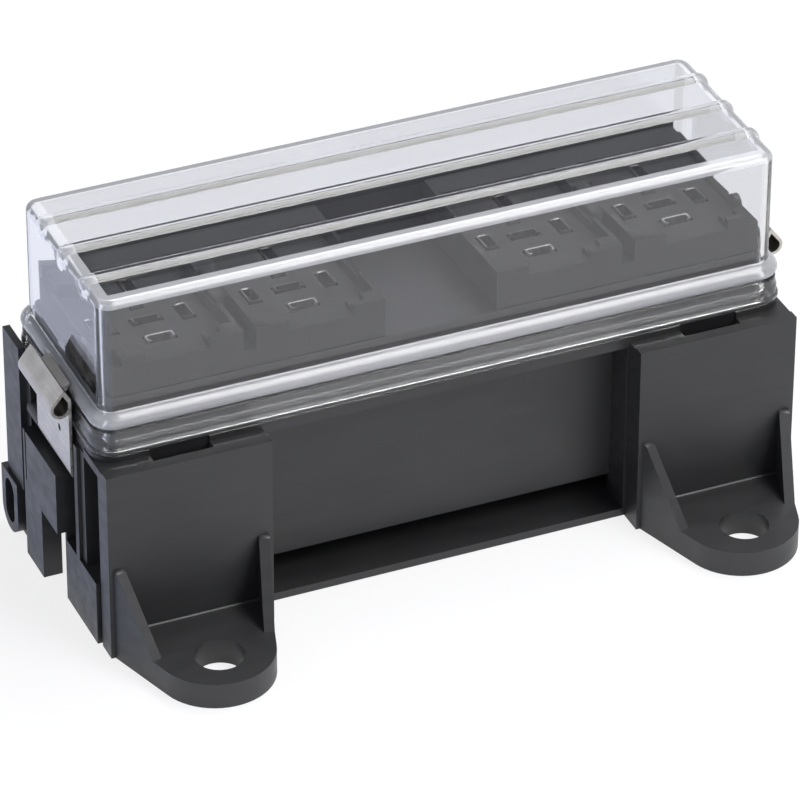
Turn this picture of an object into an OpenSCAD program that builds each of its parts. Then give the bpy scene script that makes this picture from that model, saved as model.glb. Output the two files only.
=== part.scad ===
// Fuse box with a clear lift-off cover, two sheet-steel spring clips and four blade sockets.
// Origin: midway between the two foot holes, on the mounting plane. +X runs along the box,
// +Y to its back and +Z up. All sizes are in millimetres.

/* [Cover] */
// Length of the cover's box part
cover_l = 150; // [148:0.5:156]
// Depth of the cover's box part
cover_w = 44.6; // [44.2:0.2:50]
// Height of the cover from its lower edge to its top
cover_h = 35.1; // [33:0.1:42]
// Thickness of the cover's walls and top
cover_wall = 1.6; // [1.2:0.1:2]
// Rounding of the cover's outer edges and corners
cover_edge_r = 3; // [2.4:0.1:4]
// Height of the skirt band round the cover's lower edge
band_h = 5.2; // [3.5:0.1:5.3]
// How far the skirt band stands out from the wall
band_out = 2; // [1.4:0.1:2.2]
// How far the lip at the band's foot stands out from the band
lip_out = 0.4; // [0.2:0.1:0.5]
// Height of that lip
lip_h = 0.9; // [0.5:0.1:1.4]
// Radius of the half-round bead above the band
bead_r = 1.9; // [1.6:0.1:2]
// Height of the bead's centre above the cover's lower edge
bead_z = 7.2; // [6.9:0.1:8]
// How far the bead's centre lies outside the wall
bead_out = 0.1; // [0:0.1:0.4]
// Number of ribs along the cover's top
rib_count = 3; // [1:1:3]
// Width of a rib
rib_w = 4; // [2.5:0.1:5]
// Height of a rib above the top
rib_h = 0.9; // [0.5:0.1:1.2]
// Distance from rib to rib
rib_pitch = 12.2; // [10:0.1:14]
// How far a rib stands out at the cover's ends
rib_tip = 0.5; // [0.2:0.1:0.9]

/* [Base housing] */
// Height of the rim that carries the cover
rim_h = 45.2; // [44.8:0.1:50]
// Thickness of the rim
rim_t = 2.5; // [2:0.1:3]
// How far the rim stands out from the cover's wall
rim_out = 2.1; // [1.5:0.1:2.3]
// Thickness of the housing's walls
wall_t = 2.2; // [1.6:0.1:2.6]
// How far the housing's end walls stand out from the cover's wall
end_out = 3; // [2.8:0.1:3.2]
// How far the housing reaches in front of the cover's wall
side_out = 1.5; // [1:0.1:2]
// How far the housing reaches behind the cover's wall
back_out = 2.5; // [2.2:0.1:3]
// How far the middle of the front wall is set back behind the bracket faces
front_recess = 13; // [11:0.2:14]
// Height of the gap under the middle of the front wall
gap_h = 4.6; // [4.4:0.1:6]
// Thickness of the rail below that gap
rail_t = 1.8; // [1.4:0.1:2.4]
// Depth of the rail, front to back
rail_w = 17; // [10:0.2:17.4]
// Height above the rim of the deck that carries the socket blocks
deck_up = 11.8; // [10.5:0.1:12.8]
// Thickness of the deck
deck_t = 2.2; // [1.6:0.1:3]
// Height of the rear wall above the deck
rear_wall_h = 9.5; // [6:0.1:12]
// Gap between the inside of the cover and the collar below the deck
cover_gap = 0.4; // [0.3:0.05:0.6]
// Height of the latch fingers above the deck
finger_h = 7.6; // [5:0.1:10]
// Width of a latch finger
finger_w = 4.2; // [3:0.1:6]

/* [Housing ends] */
// Depth of the raised pad, front to back
pad_w = 19.4; // [18:0.1:21]
// Distance from the rim down to the top of the raised pad
pad_drop = 13.7; // [13.2:0.1:16]
// How far the pad stands out from the end wall
pad_out = 2; // [1:0.1:2.5]
// Width of the cable notch in the pad
notch_w = 8.7; // [6:0.1:10]
// Height of the cable notch
notch_h = 17; // [10:0.1:22]
// Height of the low panel in front of the pad
panel_h = 15; // [10:0.1:20]
// How far the wall behind the clip is set in from the end wall
pocket_in = 6; // [5.4:0.1:6.2]
// Width of the pocket that the clip swings in
pocket_w = 24.9; // [22:0.1:25.4]
// Depth of the rear corner post, front to back
post_w = 9.5; // [6:0.1:10]
// Height of the rear corner posts above the rim
post_up = 4; // [1:0.1:4.6]
// Thickness of a cheek that holds the clip's axle
cheek_t = 1.8; // [1.4:0.1:2]
// Height of the lug at the foot of a rear corner
lug_h = 14; // [12:0.2:15]
// Width of that lug
lug_w = 9.5; // [8:0.1:10]
// Radius of the round-bottomed hollow in that lug
lug_hollow_r = 2.6; // [1.6:0.1:3]

/* [Brackets and feet] */
// Distance from the housing's end in to a bracket's outer side
bracket_inset = 0.7; // [0:0.1:1.5]
// Diameter of a foot hole
hole_d = 10.5; // [8:0.1:11.5]
// Thickness of a foot
foot_t = 5.8; // [4:0.1:7]
// Radius of a foot's rounded nose
nose_r = 12.5; // [11:0.1:13]
// How far the nose's centre lies behind the foot hole
nose_back = 2.2; // [1:0.1:3]
// Distance from the foot holes to the bracket faces
bracket_y = 14.8; // [14:0.1:16]
// Width of a bracket
bracket_w = 36; // [35:0.2:37]
// How far a bracket's top edge lies below the rim's top
bracket_drop = 0.9; // [0.8:0.1:4]
// Thickness of a bracket's front plate
plate_t = 2.6; // [2:0.1:3]
// Width of the slot behind a bracket's top edge
slot_w = 13; // [8:0.2:16]
// Height of a gusset above the mounting plane
gusset_h = 21.7; // [14:0.1:28]
// Thickness of a gusset
gusset_t = 2.2; // [1.6:0.1:3]
// How far a gusset reaches forward along the foot
gusset_l = 12.4; // [8:0.1:13.5]
// Radius of the fillet rod between a bracket's plate and its foot
fillet_r = 0.5; // [0.3:0.1:0.8]

/* [Gasket] */
// Width of the gasket
gasket_w = 2; // [1.4:0.1:2.2]
// Height of the gasket
gasket_h = 1.3; // [1:0.1:1.6]

/* [Spring clips] */
// Width of a clip along the end of the box
clip_w = 19.2; // [16:0.2:20]
// Distance from the cover's front wall to the clip's front edge
clip_at = 10.1; // [9.6:0.1:10.6]
// Thickness of the sheet
sheet_t = 0.7; // [0.5:0.05:0.8]
// Distance from the rim down to a clip's axle
axle_drop = 9.7; // [8.4:0.1:10.2]
// Diameter of the axle
axle_d = 2.5; // [2:0.1:2.6]
// Running clearance round the axle
axle_gap = 0.06; // [0.03:0.01:0.1]
// Gap between the clip's sheet and the cover's lip
clip_gap = 0.5; // [0.4:0.1:0.8]
// Radius of the rolled grip
roll_r = 2.25; // [1.9:0.05:2.3]
// Height of the roll's pointed top above its centre
roll_peak = 4.45; // [4:0.05:5]
// How far that top lies outside the roll's upright inner side
roll_lean = 1.6; // [1.2:0.1:2]
// Depth of the roll's centre below the bead's centre
roll_drop = 1.55; // [1.2:0.05:1.9]
// Length of the nose that lies over the bead
nose_l = 12; // [6:0.2:14]
// Diameter of the small hole below the roll
clip_hole_d = 1.6; // [1:0.1:2.4]
// Distance of that hole from the clip's front edge
clip_hole_at = 5.9; // [3:0.1:12]
// Height of that hole above the axle
clip_hole_up = 7.5; // [4:0.1:11]
// Gap between the clip's nose and the bead
nose_gap = 0.3; // [0.25:0.01:0.4]

/* [Socket blocks] */
// Distance from a block's outer end to the outside of the collar
block_end = 1; // [0.8:0.1:1.4]
// Distance from a block's front to the outside of the collar
block_edge = 0.4; // [0.3:0.1:1]
// Gap between a block's back and the rear wall
block_gap = 0.6; // [0.3:0.1:1.4]
// Height of a block above the deck
block_up = 9; // [7:0.1:11]
// How far a block's outer end steps in near its top
end_step = 2; // [1:0.1:2.4]
// Depth of a block below the deck
block_down = 23; // [18:0.5:26]
// Distance between the inner faces of the two blocks
block_apart = 24.8; // [24:0.2:25.6]
// How much further apart the two sockets of a block lie than half its width
socket_extra = 1.5; // [1:0.1:1.7]
// Thickness of the wall between the two wells of a block
well_wall = 4.9; // [4.3:0.1:5.5]
// Thickness of the wall behind a well
well_back = 6.4; // [5.4:0.1:7]
// Depth of a well
well_depth = 3.5; // [2.6:0.1:3.8]
// Thickness of the wall in front of a well
well_front = 4.6; // [3:0.1:5]
// Width of the notch in a socket's front wall
lip_notch_w = 14; // [8:0.1:16]
// Width of the slot between the two sockets of a block
parting_w = 2.7; // [1.5:0.1:3]
// Length of that slot
parting_l = 15; // [8:0.5:20]
// Depth of that slot
parting_deep = 5; // [3:0.1:6]

/* [Terminals] */
// Width of a terminal's blade box
term_w = 6.4; // [5.8:0.1:6.8]
// Thickness of a blade box
term_d = 2.6; // [2.2:0.1:3]
// Length of a blade box
term_l = 14; // [10:0.5:18]
// Sheet thickness of a terminal
term_t = 0.8; // [0.5:0.05:0.9]
// Length of the crimp wings below the blade box
crimp_l = 9; // [5:0.5:10]
// Width across the crimp wings
crimp_w = 4; // [3:0.1:5]
// Clearance round a terminal in its cavity
term_gap = 0.2; // [0.1:0.05:0.3]
// Distance from the well's front side to the front terminal
front_edge = 4.4; // [3.6:0.1:5]
// Distance from the well's rear side to the rear terminal
rear_edge = 0.7; // [0.5:0.1:1.2]
// Distance from the well's left or right side to a side terminal
side_edge = 3.5; // [2.6:0.1:3.8]
// How far the centre terminal lies behind the well's middle
centre_shift = 0.7; // [0:0.1:1]

/* [Hidden] */
round_n = 48;
arc_n = 24;
eps = 0.01;
SIDES = [-1, 1];
END_NAMES = ["left", "right"];
SOCKETS = [1, 2, 3, 4];
PINS = ["front", "centre", "side_a", "side_b", "rear"];

// Cover in place
seat_gap = 0.3;
cover_z = rim_h + seat_gap;
cover_front = 22.3;
cover_mid = cover_front + cover_w / 2;
half_l = cover_l / 2;
half_w = cover_w / 2;

// Housing in place
end_x = half_l + end_out;
lug_behind = 2.1;
base_front = cover_front - side_out;
base_back = cover_front + cover_w + back_out;
wall_y = bracket_y + front_recess;
collar_l = cover_l - 2 * (cover_wall + cover_gap);
collar_w = cover_w - 2 * (cover_wall + cover_gap);
collar_r = cover_edge_r - cover_wall / 2;
rim_z = rim_h - rim_t;
deck_z = rim_h + deck_up;
pad_h = rim_h - pad_drop;
bracket_h = rim_h - bracket_drop;
axle_z = rim_h - axle_drop;

// Bracket and foot
foot_x = end_x - bracket_inset - bracket_w / 2;
bracket_in = foot_x - bracket_w / 2;
bracket_out = foot_x + bracket_w / 2;
foot_half = bracket_w / 2 - 0.9;

// Clip
axle_r = axle_d / 2;
eye_in = axle_r + axle_gap;
eye_r = eye_in + sheet_t;
clip_in = half_l + band_out + lip_out + clip_gap;
clip_out = clip_in + sheet_t;
axle_x = clip_out - eye_r;
clip_front = cover_front + clip_at;
clip_back = clip_front + clip_w;
pocket_slack = 0.4;
pocket_x = end_x - pocket_in;
pocket_back = clip_front + pocket_w;
pad_front = cover_mid - pad_w / 2 + 3;

// Blocks and terminals
block_w = collar_l / 2 - block_end - block_apart / 2;
block_d = collar_w - wall_t - block_edge - block_gap;
block_mid = block_apart / 2 + block_w / 2;
block_front = cover_mid - collar_w / 2 + block_edge;
finger_y = block_front + 12;
block_top = deck_z + block_up;
shank_in = 2.6;
shank_gap = 0.4;
shank_step = 1.4;
shank_front = wall_y + wall_t + shank_gap;
shank_back = block_front + block_d - shank_step;
shank_slack = 0.3;
lug_out = 0.9;
socket_pitch = block_w / 2 + socket_extra;
well_l = socket_pitch - well_wall;
well_w = block_d - well_front - well_back;
well_y = block_front + well_front + well_w / 2;
well_floor = block_top - well_depth;
term_up = 0.4;
term_top = well_floor + term_up;
centre_y = well_y + centre_shift;
front_step = well_w / 2 + centre_shift - front_edge - term_d / 2;
rear_step = well_w / 2 - centre_shift - rear_edge - term_w / 2;
side_step = well_l - 2 * side_edge - term_d;

function arc(cx, cy, r, a0, a1, n) =
    [for (i = [0:n]) let (a = a0 + (a1 - a0) * i / n) [cx + r * cos(a), cy + r * sin(a)]];

// A rectangle with round corners, centred
module round_rect(l, w, r) {
    square([l - 2 * r, w], center = true);
    square([l, w - 2 * r], center = true);
    for (x = SIDES) for (y = SIDES)
        translate([x * (l / 2 - r), y * (w / 2 - r)]) circle(r, $fn = round_n);
}

// A block with round upright corners and round top edges, its foot at z = 0
module round_block(l, w, h, r) {
    linear_extrude(h - r) round_rect(l, w, r);
    translate([-l / 2 + r, -w / 2 + r, 0]) cube([l - 2 * r, w - 2 * r, h]);
    for (y = SIDES) translate([-l / 2 + r, y * (w / 2 - r), h - r])
        rotate([0, 90, 0]) cylinder(h = l - 2 * r, r = r, $fn = round_n);
    for (x = SIDES) translate([x * (l / 2 - r), -w / 2 + r, h - r])
        rotate([-90, 0, 0]) cylinder(h = w - 2 * r, r = r, $fn = round_n);
    for (x = SIDES) for (y = SIDES)
        translate([x * (l / 2 - r), y * (w / 2 - r), h - r]) sphere(r, $fn = round_n);
}

// A round bar that runs round a rectangle with round corners
module ring_bar(l, w, corner, r) {
    for (y = SIDES) translate([-l / 2 + corner, y * w / 2, 0])
        rotate([0, 90, 0]) cylinder(h = l - 2 * corner, r = r, $fn = round_n);
    for (x = SIDES) translate([x * l / 2, -w / 2 + corner, 0])
        rotate([-90, 0, 0]) cylinder(h = w - 2 * corner, r = r, $fn = round_n);
    for (q = [0:3]) {
        sx = (q == 0 || q == 3) ? 1 : -1;
        sy = q < 2 ? 1 : -1;
        translate([sx * (l / 2 - corner), sy * (w / 2 - corner), 0])
            rotate([0, 0, q * 90])
                rotate_extrude(angle = 90, $fn = round_n) translate([corner, 0]) circle(r, $fn = round_n);
    }
}

// Clear cover: a thin box with ribs on top and a beaded skirt
module cover_ribs() {
    rib_r = (pow(rib_w / 2, 2) + pow(rib_h, 2)) / (2 * rib_h);
    reach = cover_l + 2 * rib_tip;
    for (i = [0:rib_count - 1])
        translate([-reach / 2, (i - (rib_count - 1) / 2) * rib_pitch, cover_h + rib_h - rib_r])
            rotate([0, 90, 0]) cylinder(h = reach, r = rib_r, $fn = round_n);
}

module cover_shell() {
    round_block(cover_l, cover_w, cover_h, cover_edge_r);
    intersection() {
        cover_ribs();
        round_block(cover_l + 2 * rib_tip, cover_w, cover_h + rib_h, cover_edge_r);
    }
    step = 0.3;
    linear_extrude(band_h * 0.66)
        round_rect(cover_l + 2 * band_out, cover_w + 2 * band_out, cover_edge_r + band_out);
    linear_extrude(band_h)
        round_rect(cover_l + 2 * (band_out - step), cover_w + 2 * (band_out - step),
            cover_edge_r + band_out - step);
    linear_extrude(lip_h)
        round_rect(cover_l + 2 * (band_out + lip_out), cover_w + 2 * (band_out + lip_out),
            cover_edge_r + band_out + lip_out);
    translate([0, 0, bead_z])
        ring_bar(cover_l + 2 * bead_out, cover_w + 2 * bead_out, cover_edge_r + bead_out, bead_r);
}

module cover() {
    inner_r = max(0.8, cover_edge_r - cover_wall);
    color([0.9, 0.92, 0.96, 0.35])
    translate([0, cover_mid, cover_z])
    difference() {
        cover_shell();
        translate([0, 0, -eps])
            round_block(cover_l - 2 * cover_wall, cover_w - 2 * cover_wall,
                cover_h - cover_wall + eps, inner_r);
    }
}

// Gasket in the groove of the rim
module gasket_ring(extra) {
    path_out = (band_out - cover_wall) / 2;
    w = gasket_w + extra;
    difference() {
        round_rect(cover_l + 2 * path_out + w, cover_w + 2 * path_out + w, cover_edge_r + path_out + w / 2);
        round_rect(cover_l + 2 * path_out - w, cover_w + 2 * path_out - w, cover_edge_r + path_out - w / 2);
    }
}

module gasket() {
    color([0.16, 0.16, 0.17])
    translate([0, cover_mid, cover_z - gasket_h]) linear_extrude(gasket_h) gasket_ring(0);
}

// Base housing
module rim_and_collar() {
    in_l = collar_l - 2 * wall_t;
    in_back = cover_mid + collar_w / 2 - wall_t;
    difference() {
        union() {
            translate([0, cover_mid, rim_z]) linear_extrude(rim_t)
                round_rect(cover_l + 2 * rim_out, cover_w + 2 * rim_out, cover_edge_r + rim_out);
            translate([0, cover_mid, rim_z]) linear_extrude(deck_z - rim_z)
                round_rect(collar_l, collar_w, collar_r);
        }
        translate([0, cover_mid, rim_h]) linear_extrude(deck_z - deck_t - rim_h)
            round_rect(in_l, collar_w - 2 * wall_t, max(0.5, collar_r - wall_t / 2));
        translate([-in_l / 2, wall_y + wall_t, rim_z - 1])
            cube([in_l, in_back - wall_y - wall_t, deck_z - deck_t - rim_z + 1]);
        translate([0, cover_mid, cover_z - gasket_h]) linear_extrude(gasket_h) gasket_ring(0);
        for (s = SIDES) {
            shank_opening(s);
            // The slot behind the bracket's plate runs on as a shallow notch in the rim
            translate([s * foot_x - slot_w / 2, cover_front - rim_out - 1, rim_z - 1])
                cube([slot_w, 1.5, rim_t + 2]);
        }
    }
}

module shank_opening(s) {
    l = block_w - 2 * shank_in + 2 * shank_slack;
    translate([s * block_mid - l / 2, shank_front - shank_slack, deck_z - deck_t - 1])
        cube([l, shank_back - shank_front + 2 * shank_slack, deck_t + 2]);
}

// Hollow body below the rim, open at the bottom
module body_walls() {
    inner_x = end_x - wall_t;
    inner_back = base_back - wall_t;
    difference() {
        translate([-end_x, base_front, 0]) cube([2 * end_x, base_back - base_front, rim_z + eps]);
        translate([-inner_x, wall_y + wall_t, rail_t])
            cube([2 * inner_x, inner_back - wall_y - wall_t, rim_z + 1 - rail_t]);
        translate([-inner_x, base_front + rail_w, -eps])
            cube([2 * inner_x, inner_back - base_front - rail_w, rail_t + 2 * eps]);
        // The front of the body stops at the recessed front wall, behind the brackets
        translate([-inner_x, base_front - eps, rail_t])
            cube([2 * inner_x, wall_y - base_front + eps, rim_z + 1]);
        translate([-bracket_in, base_front - eps, rail_t])
            cube([2 * bracket_in, wall_y + wall_t - base_front + 2 * eps, gap_h]);
        for (s = SIDES) end_pocket_cut(s);
    }
    for (s = SIDES) end_pocket_wall(s);
}

// Room for the clip, cut into each end wall, with the low panel left in front
module end_pocket_cut(s) {
    y0 = base_front - eps;
    mirror([s < 0 ? 1 : 0, 0, 0]) {
        translate([pocket_x, y0, panel_h]) cube([pocket_in + 1, pad_front - y0, rim_z]);
        translate([pocket_x, y0, pad_h]) cube([pocket_in + 1, pocket_back - y0, rim_z]);
    }
}

module end_pocket_wall(s) {
    y0 = wall_y;
    y1 = pocket_back + wall_t;
    mirror([s < 0 ? 1 : 0, 0, 0]) {
        // Inner wall, floors and the wall that closes the front of the pad
        translate([pocket_x - wall_t, y0, panel_h - wall_t])
            cube([wall_t, y1 - y0, rim_z - panel_h + wall_t + eps]);
        translate([pocket_x - wall_t, base_front, panel_h - wall_t])
            cube([end_x - pocket_x + wall_t, pad_front - base_front, wall_t]);
        translate([pocket_x - wall_t, pad_front, panel_h - wall_t])
            cube([end_x - pocket_x + wall_t, wall_t, pad_h - panel_h + wall_t]);
        translate([pocket_x - wall_t, pad_front, pad_h - wall_t])
            cube([end_x - pocket_x + wall_t, y1 - pad_front, wall_t]);
        translate([pocket_x - wall_t, y1 - wall_t, pad_h - wall_t])
            cube([end_x - pocket_x + wall_t, wall_t, rim_z - pad_h + wall_t + eps]);
    }
}

// Cheek and axle of one clip, with a thicker length behind it that keeps the clip in place
module clip_bearing(s) {
    top = rim_z + eps;
    y_front = clip_front - pocket_slack - cheek_t;
    y_stop = clip_back + pocket_slack;
    mirror([s < 0 ? 1 : 0, 0, 0]) {
        translate([pocket_x - eps, y_front, panel_h - eps])
            cube([end_x - pocket_x, cheek_t, top - panel_h]);
        translate([axle_x, y_front + eps, axle_z]) rotate([-90, 0, 0])
            cylinder(h = pocket_back - y_front + 1, r = axle_r, $fn = round_n);
        translate([axle_x, y_stop, axle_z]) rotate([-90, 0, 0])
            cylinder(h = pocket_back - y_stop + 1, r = eye_r, $fn = round_n);
    }
}

module end_pad(s) {
    mirror([s < 0 ? 1 : 0, 0, 0])
    difference() {
        translate([end_x - eps, pad_front, 0]) cube([pad_out, pad_w, pad_h]);
        translate([end_x + pad_out - 0.6, pad_front + pad_w - 1.6, pad_h - 12]) cube([1, 0.6, 13]);
    }
}

// The notch takes the pad away as far as its front edge, and leaves a sliver of the wall behind
module cable_notch(s) {
    sliver = 0.7;
    mirror([s < 0 ? 1 : 0, 0, 0]) {
        translate([end_x - wall_t - 1, pad_front + sliver, -eps])
            cube([wall_t + pad_out + 2, notch_w, notch_h]);
        translate([end_x, pad_front - 1, -eps]) cube([pad_out + 1, notch_w + sliver + 1, notch_h]);
    }
}

// Rear corner post beside the cover's end, with the hollow lug at its foot
module rear_post(s) {
    post_x = half_l + band_out + lip_out + 0.4;
    post_out = 1.4;
    lug_in = 4;
    lug_r = lug_w / 2;
    lug_mid = base_back + lug_behind - lug_r;
    lug_face = end_x + post_out + 0.8;
    mirror([s < 0 ? 1 : 0, 0, 0]) {
        translate([post_x, base_back - post_w, lug_h - eps])
            cube([end_x + post_out - post_x, post_w, rim_h + post_up - lug_h]);
        difference() {
            union() {
                translate([end_x - lug_in, lug_mid - lug_r, lug_r])
                    cube([lug_face - end_x + lug_in, lug_w, lug_h - lug_r]);
                translate([end_x - lug_in, lug_mid, lug_r]) rotate([0, 90, 0])
                    cylinder(h = lug_face - end_x + lug_in, r = lug_r, $fn = round_n);
            }
            for (z = [lug_r, lug_h - 1.4 - lug_hollow_r])
                translate([lug_face - 3, lug_mid, z]) rotate([0, 90, 0])
                    cylinder(h = 4, r = lug_hollow_r, $fn = round_n);
            translate([lug_face - 3, lug_mid - lug_hollow_r, lug_r])
                cube([4, 2 * lug_hollow_r, lug_h - 1.4 - lug_hollow_r - lug_r]);
        }
    }
}

module bracket(s) {
    ledge_z = bracket_h - 0.4;
    side_t = 2.4;
    lip_back = base_front - 1;
    y_plate = bracket_y + plate_t;
    mirror([s < 0 ? 1 : 0, 0, 0]) {
        difference() {
            union() {
                translate([bracket_in, bracket_y, 0]) cube([bracket_w, plate_t, bracket_h]);
                translate([bracket_in, y_plate - eps, 0])
                    cube([side_t, wall_y + wall_t - y_plate + eps, ledge_z]);
                translate([bracket_out - side_t, y_plate - eps, 0])
                    cube([side_t, lip_back - y_plate + eps, ledge_z]);
                translate([bracket_in, y_plate - eps, ledge_z - 2])
                    cube([bracket_w, wall_y - y_plate + 2 * eps, 2]);
                translate([bracket_in, wall_y, 0]) cube([bracket_w, wall_t, rim_z + eps]);
                // Small step down the bracket's inner side
                translate([bracket_in - 0.4, base_front, rail_t])
                    cube([0.4 + eps, wall_y - base_front, rim_z - rail_t + eps]);
                // Fillet rod where the plate stands on the foot
                translate([bracket_in + 1, bracket_y, foot_t]) rotate([0, 90, 0])
                    cylinder(h = bracket_w - 2, r = fillet_r, $fn = arc_n);
            }
            // Fine groove between the plate and the ledge, and the slot behind it
            translate([bracket_in + 3, y_plate, ledge_z - 0.7]) cube([bracket_w - 6, 0.4, 2]);
            translate([foot_x - slot_w / 2, y_plate + 0.2, ledge_z - 3])
                cube([slot_w, cover_front - rim_out + 0.5 - y_plate - 0.2, 6]);
        }
        foot();
    }
}

module foot() {
    reach = norm([foot_half, bracket_y - nose_back]);
    turn = atan2(bracket_y - nose_back, foot_half) - acos(nose_r / reach);
    edge_x = nose_r * cos(turn);
    edge_y = nose_back + nose_r * sin(turn);
    back = bracket_y + 1;
    translate([foot_x, 0, 0])
    difference() {
        union() {
            linear_extrude(foot_t) {
                translate([0, nose_back]) circle(nose_r, $fn = 96);
                polygon([[-foot_half, back], [-foot_half, bracket_y], [-edge_x, edge_y],
                    [edge_x, edge_y], [foot_half, bracket_y], [foot_half, back]]);
            }
            for (m = [0, 1]) mirror([m, 0, 0])
                translate([foot_half, bracket_y, 0]) rotate([0, 0, -90 + turn]) gusset();
        }
        translate([0, 0, -1]) cylinder(h = foot_t + 2, d = hole_d, $fn = 64);
    }
}

// Upright web that runs down along one slanted edge of the foot
module gusset() {
    top_r = 1.2;
    fall = atan2(gusset_h - foot_t, gusset_l);
    rotate([90, 0, 0]) linear_extrude(gusset_t)
        polygon(concat([[-1, 1], [-1, gusset_h]], arc(0.5, gusset_h - top_r, top_r, 90, 90 - fall, 6),
            [[gusset_l, foot_t], [gusset_l, 1]]));
}

// Wall behind the blocks and a finger beside each outer block end
module deck_parts() {
    back_y = cover_mid + collar_w / 2 - wall_t;
    translate([-collar_l / 2 + collar_r, back_y, deck_z - eps])
        cube([collar_l - 2 * collar_r, wall_t, rear_wall_h]);
    for (s = SIDES) mirror([s < 0 ? 1 : 0, 0, 0]) finger();
}

module finger() {
    finger_t = collar_l / 2 - (block_mid + block_w / 2) + 0.4;
    top = deck_z + finger_h;
    translate([collar_l / 2 - finger_t, finger_y, 0]) {
        translate([0, -finger_w / 2, deck_z - eps]) cube([finger_t, finger_w, top - deck_z - finger_w / 2]);
        translate([0, 0, top - finger_w / 2]) rotate([0, 90, 0])
            cylinder(h = finger_t, d = finger_w, $fn = round_n);
    }
}

module base() {
    color([0.2, 0.2, 0.21])
    difference() {
        union() {
            rim_and_collar();
            body_walls();
            for (s = SIDES) {
                clip_bearing(s);
                end_pad(s);
                rear_post(s);
                bracket(s);
            }
            deck_parts();
        }
        for (s = SIDES) cable_notch(s);
    }
}

// Spring clip: eye round the axle, flat spring, and a rolled grip. The nose in the middle of
// its length lies over the cover's bead.
roll_at = [clip_in + roll_r, cover_z + bead_z - roll_drop];
roll_tip = [roll_lean - roll_r, roll_peak];
roll_knee = 1.85;

// Section of the rolled grip about its centre, made smaller by inner
function roll_outline(inner) =
    let (r = roll_r - inner,
         tip = roll_tip * (r / roll_r),
         a = atan2(tip[1], tip[0]) - acos(r / norm(tip)))
    concat([[-r, roll_knee * r / roll_r], tip], arc(0, 0, r, a, -180, arc_n));

module clip_outline() {
    bottom = acos((sheet_t - roll_r) / roll_r);
    a = atan2(roll_tip[1], roll_tip[0]) - acos(roll_r / norm(roll_tip));
    polygon(concat([[clip_out, axle_z], [clip_in - 0.2, axle_z], [clip_in - 0.2, axle_z + 0.6],
        [clip_in, axle_z + 1.4], roll_at + [-roll_r, roll_knee], roll_at + roll_tip],
        arc(roll_at[0], roll_at[1], roll_r, a, -bottom, arc_n)));
}

module nose_outline() {
    bead_x = half_l + bead_out;
    bead_up = cover_z + bead_z;
    near = bead_r + nose_gap;
    polygon(concat([[clip_in + 0.3, bead_up - 0.1]],
        arc(bead_x, bead_up, near, 14, 50, 8), arc(bead_x, bead_up, near + sheet_t, 50, 38, 3),
        [[clip_in + 1, bead_up + 1.3]]));
}

module clip(s) {
    long = clip_w + 2;
    color([0.72, 0.72, 0.74])
    mirror([s < 0 ? 1 : 0, 0, 0])
    difference() {
        union() {
            translate([0, clip_back, 0]) rotate([90, 0, 0]) linear_extrude(clip_w) clip_outline();
            translate([0, cover_mid - 2.6 + nose_l / 2, 0]) rotate([90, 0, 0])
                linear_extrude(nose_l) nose_outline();
            translate([axle_x, clip_front, axle_z]) rotate([-90, 0, 0])
                cylinder(h = clip_w, r = eye_r, $fn = round_n);
        }
        translate([axle_x, clip_front - 1, axle_z]) rotate([-90, 0, 0])
            cylinder(h = long, r = eye_in, $fn = round_n);
        translate([0, clip_back + 1, 0]) rotate([90, 0, 0]) linear_extrude(long)
            translate(roll_at) polygon(roll_outline(sheet_t));
        translate([clip_in - 1, clip_front + clip_hole_at, axle_z + clip_hole_up])
            rotate([0, 90, 0]) cylinder(h = sheet_t + 2, d = clip_hole_d, $fn = 24);
    }
}

module clip_left() { clip(-1); }
module clip_right() { clip(1); }

// Double socket block
function socket_x(k) = (k <= 2 ? -1 : 1) * block_mid + ((k % 2 == 1) ? -1 : 1) * socket_pitch / 2;

// Place and turn of each of a socket's five terminals
function pin_at(k, p) =
    p == "front" ? [socket_x(k), centre_y - front_step, 0] :
    p == "centre" ? [socket_x(k), centre_y, 0] :
    p == "rear" ? [socket_x(k), centre_y + rear_step, 90] :
    p == "side_a" ? [socket_x(k) - side_step / 2, centre_y, 90] :
    [socket_x(k) + side_step / 2, centre_y, -90];

module socket_cuts(k) {
    x = socket_x(k);
    translate([x - well_l / 2, well_y - well_w / 2, well_floor]) cube([well_l, well_w, well_depth + 1]);
    // Stepped notch through the front wall
    translate([x - lip_notch_w / 2, block_front - 1, block_top - 2.3])
        cube([lip_notch_w, well_front + 2, 3]);
    translate([x - lip_notch_w / 2 - 3, block_front + 1.6, block_top - 1.1])
        cube([lip_notch_w + 6, well_front, 2]);
    // Keyways in the side walls of the well
    for (m = SIDES) translate([x + m * (well_l / 2) - 0.9, well_y - 5, block_top - 1.6]) cube([1.8, 10, 3]);
    for (p = PINS) {
        at = pin_at(k, p);
        l = term_w + 2 * term_gap;
        w = term_d + 2 * term_gap;
        translate([at[0], at[1], deck_z - block_down - 1]) rotate([0, 0, at[2]])
            translate([-l / 2, -w / 2, 0]) cube([l, w, block_down + block_up + 2]);
    }
}

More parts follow.
